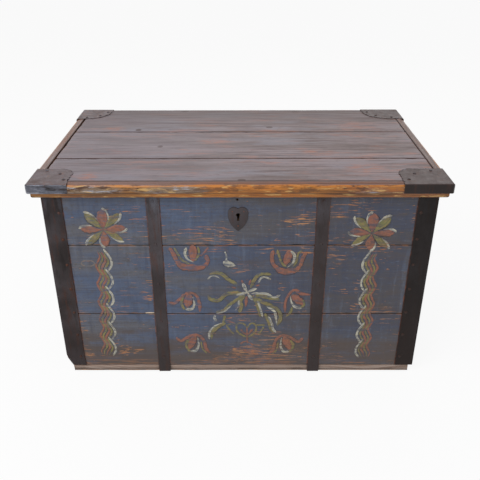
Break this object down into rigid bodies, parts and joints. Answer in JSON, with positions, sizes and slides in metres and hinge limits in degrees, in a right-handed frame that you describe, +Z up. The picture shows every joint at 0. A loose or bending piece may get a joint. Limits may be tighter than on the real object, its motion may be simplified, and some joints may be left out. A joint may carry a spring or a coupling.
{
  "type": "trunk",
  "caption": "Iron-bound painted pine trunk: dovetailed plank case, moulded lid on strap hinges, chest lock behind a heart-shaped keyhole plate, drop handles on the ends.",
  "frame": {"origin": "on the floor under the middle of the trunk's box, centred left to right and front to back", "axes": "+Z up, +X to the right seen from the front, and the painted front faces -Y"},
  "size_m": [1.163, 0.7164, 0.6692],
  "materials": {
    "blue_painted_pine": "worn blue-grey paint with folk flowers on the front",
    "back_pine": "unpainted aged pine",
    "base_pine": "grimy aged pine",
    "worn_lid_pine": "worn brown paint on pine",
    "honey_moulding": "worn varnished pine",
    "bare_pine": "bare pine, darkened inside",
    "wrought_iron": "black wrought iron",
    "lid_iron": "worn sheet iron",
    "lock_iron": "dull lock iron",
    "rusty_nails": "rusty wrought heads"
  },
  "bodies": {
    "case": {"back_plank_lower": "back_pine", "back_plank_middle": "back_pine", "back_plank_upper": "back_pine", "base_plank_back": "base_pine", "base_plank_front": "base_pine", "base_plank_middle": "base_pine", "corner_iron_back_left": "wrought_iron", "corner_iron_back_right": "wrought_iron", "corner_iron_front_left": "wrought_iron", "corner_iron_front_right": "wrought_iron", "corner_nails": "rusty_nails", "front_plank_lower": "blue_painted_pine", "front_plank_middle": "blue_painted_pine", "front_plank_upper": "blue_painted_pine", "front_strap_left": "wrought_iron", "front_strap_right": "wrought_iron", "hinge_pin_left": "wrought_iron", "hinge_pin_right": "wrought_iron", "hinge_strap_left": "wrought_iron", "hinge_strap_right": "wrought_iron", "key_post": "lock_iron", "keyhole_plate": "wrought_iron", "left_handle_eye_back": "wrought_iron", "left_handle_eye_front": "wrought_iron", "left_plank_lower": "blue_painted_pine", "left_plank_middle": "blue_painted_pine", "left_plank_upper": "blue_painted_pine", "lock_cover": "lock_iron", "lock_plate": "lock_iron", "lock_spring": "lock_iron", "right_handle_eye_back": "wrought_iron", "right_handle_eye_front": "wrought_iron", "right_plank_lower": "blue_painted_pine", "right_plank_middle": "blue_painted_pine", "right_plank_upper": "blue_painted_pine", "strap_nails": "rusty_nails", "till_floor": "bare_pine", "till_wall": "bare_pine"},
    "lid": {"hinge_leaf_left": "wrought_iron", "hinge_leaf_right": "wrought_iron", "lid_batten_left": "bare_pine", "lid_batten_right": "bare_pine", "lid_corner_back_left": "lid_iron", "lid_corner_back_right": "lid_iron", "lid_corner_front_left": "lid_iron", "lid_corner_front_right": "lid_iron", "lid_moulding_front": "honey_moulding", "lid_moulding_left": "honey_moulding", "lid_moulding_right": "honey_moulding", "lid_nails": "rusty_nails", "lid_plank_back": "worn_lid_pine", "lid_plank_front": "worn_lid_pine", "lid_plank_middle": "worn_lid_pine", "lock_staple": "lock_iron"},
    "lock_bolt": {"lock_bolt": "lock_iron"},
    "left_handle": {"left_handle": "wrought_iron"},
    "right_handle": {"right_handle": "wrought_iron"}
  },
  "joints": [
    {"name": "lid_hinge", "type": "hinge", "parent": "case", "child": "lid", "pos_m": [0, 0.34775, 0.6336], "axis": [-1, 0, 0], "range_deg": [0, 100]},
    {"name": "bolt_slide", "type": "slide", "parent": "case", "child": "lock_bolt", "axis": [1, 0, 0], "range_m": [0, 0.016]},
    {"name": "left_handle_swing", "type": "hinge", "parent": "case", "child": "left_handle", "pos_m": [-0.5615, 0.00675, 0.4041], "axis": [0, 1, 0], "range_deg": [0, 170]},
    {"name": "right_handle_swing", "type": "hinge", "parent": "case", "child": "right_handle", "pos_m": [0.5615, 0.00675, 0.4041], "axis": [0, -1, 0], "range_deg": [0, 170]}
  ]
}
